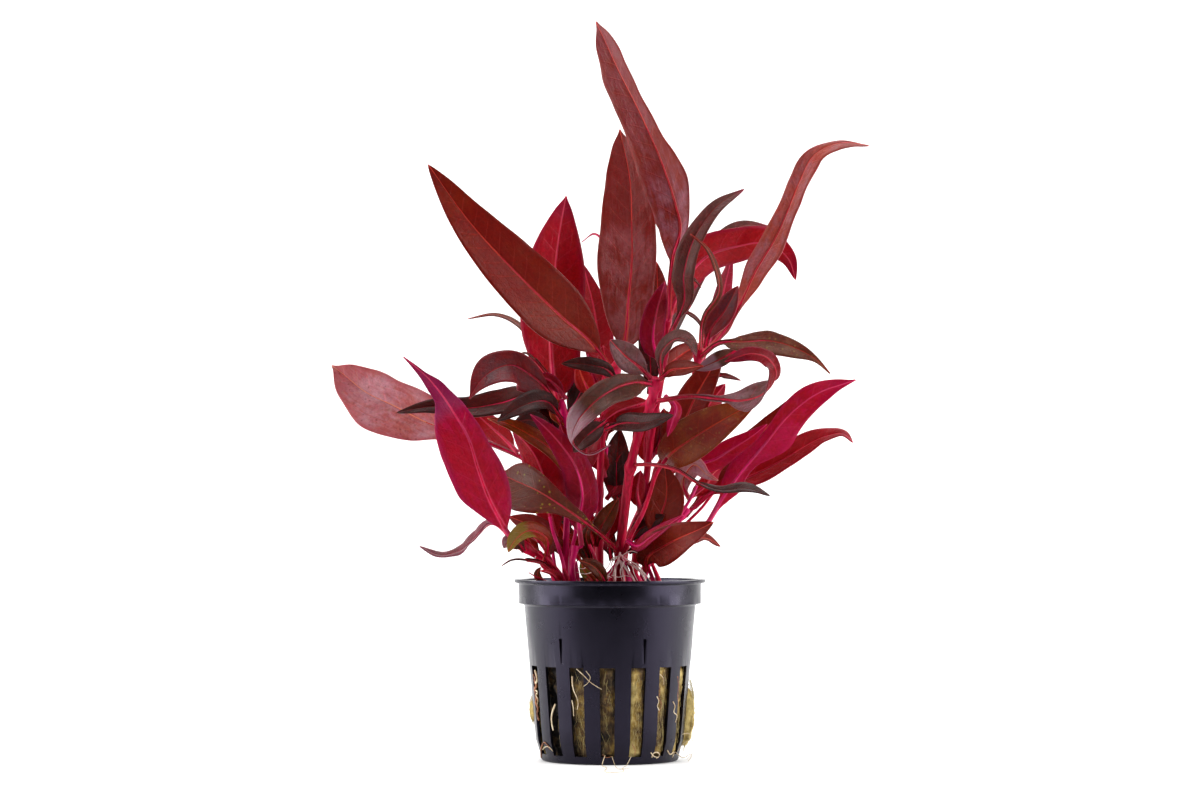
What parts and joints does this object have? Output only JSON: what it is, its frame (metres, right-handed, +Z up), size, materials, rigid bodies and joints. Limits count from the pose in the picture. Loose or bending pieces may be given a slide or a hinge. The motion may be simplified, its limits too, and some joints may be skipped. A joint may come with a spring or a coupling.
{
  "type": "potted aquarium stem plant",
  "caption": "Red-leaved aquarium stem plant, a bunch of cuttings rooted in rock wool in a black slotted net pot.",
  "frame": {"origin": "middle of the pot's flat underside, on the surface that it stands on", "axes": "+Z up, -Y towards the side that the plant faces, +X to the viewer's right"},
  "size_m": [0.1607, 0.0878, 0.2161],
  "materials": {
    "pot_black": "satin moulded plastic",
    "wool_ochre": "rough mineral fibre, stained ochre",
    "stem_crimson": "smooth fleshy stem",
    "stem_pink": "smooth fleshy stem",
    "leaf_olive": "satin leaf with veins",
    "leaf_dusky": "satin leaf with veins",
    "leaf_brick": "satin leaf with veins",
    "leaf_crimson": "satin leaf with veins",
    "leaf_magenta": "satin leaf with veins",
    "leaf_mauve": "satin leaf with veins"
  },
  "bodies": {
    "root": {"pot": "pot_black", "rock_wool": "wool_ochre", "stem_main": "stem_crimson", "stem_tall": "stem_crimson", "stem_centre": "stem_crimson", "stem_left": "stem_pink", "stem_leaning": "stem_crimson", "stem_short": "stem_pink", "stem_right": "stem_pink", "stem_slender": "stem_crimson", "leaf_main_1": "leaf_olive", "leaf_main_2": "leaf_dusky", "leaf_main_3": "leaf_dusky", "leaf_main_4": "leaf_dusky", "leaf_main_5": "leaf_dusky", "leaf_main_6": "leaf_brick", "leaf_main_7": "leaf_dusky", "leaf_tall_1": "leaf_brick", "leaf_tall_2": "leaf_crimson", "leaf_tall_3": "leaf_dusky", "leaf_tall_4": "leaf_magenta", "leaf_tall_5": "leaf_brick", "leaf_tall_6": "leaf_dusky", "leaf_centre_1": "leaf_brick", "leaf_centre_2": "leaf_brick", "leaf_centre_3": "leaf_crimson", "leaf_centre_4": "leaf_magenta", "leaf_centre_5": "leaf_dusky", "leaf_centre_6": "leaf_crimson", "leaf_left_1": "leaf_crimson", "leaf_left_2": "leaf_dusky", "leaf_left_3": "leaf_dusky", "leaf_left_4": "leaf_dusky", "leaf_left_5": "leaf_mauve", "leaf_left_6": "leaf_olive", "leaf_left_7": "leaf_crimson", "leaf_left_8": "leaf_dusky", "leaf_left_9": "leaf_olive", "leaf_leaning_1": "leaf_crimson", "leaf_leaning_2": "leaf_crimson", "leaf_leaning_3": "leaf_olive", "leaf_leaning_4": "leaf_brick", "leaf_short_1": "leaf_magenta", "leaf_right_1": "leaf_brick", "leaf_right_2": "leaf_brick", "leaf_right_3": "leaf_brick", "leaf_right_4": "leaf_magenta", "leaf_right_5": "leaf_crimson", "leaf_right_6": "leaf_magenta", "leaf_right_7": "leaf_brick", "leaf_slender_1": "leaf_olive", "leaf_slender_2": "leaf_brick", "leaf_slender_3": "leaf_olive", "leaf_slender_4": "leaf_brick", "leaf_slender_5": "leaf_dusky", "leaf_slender_6": "leaf_olive", "leaf_slender_7": "leaf_magenta", "leaf_slender_8": "leaf_crimson"}
  },
  "joints": []
}
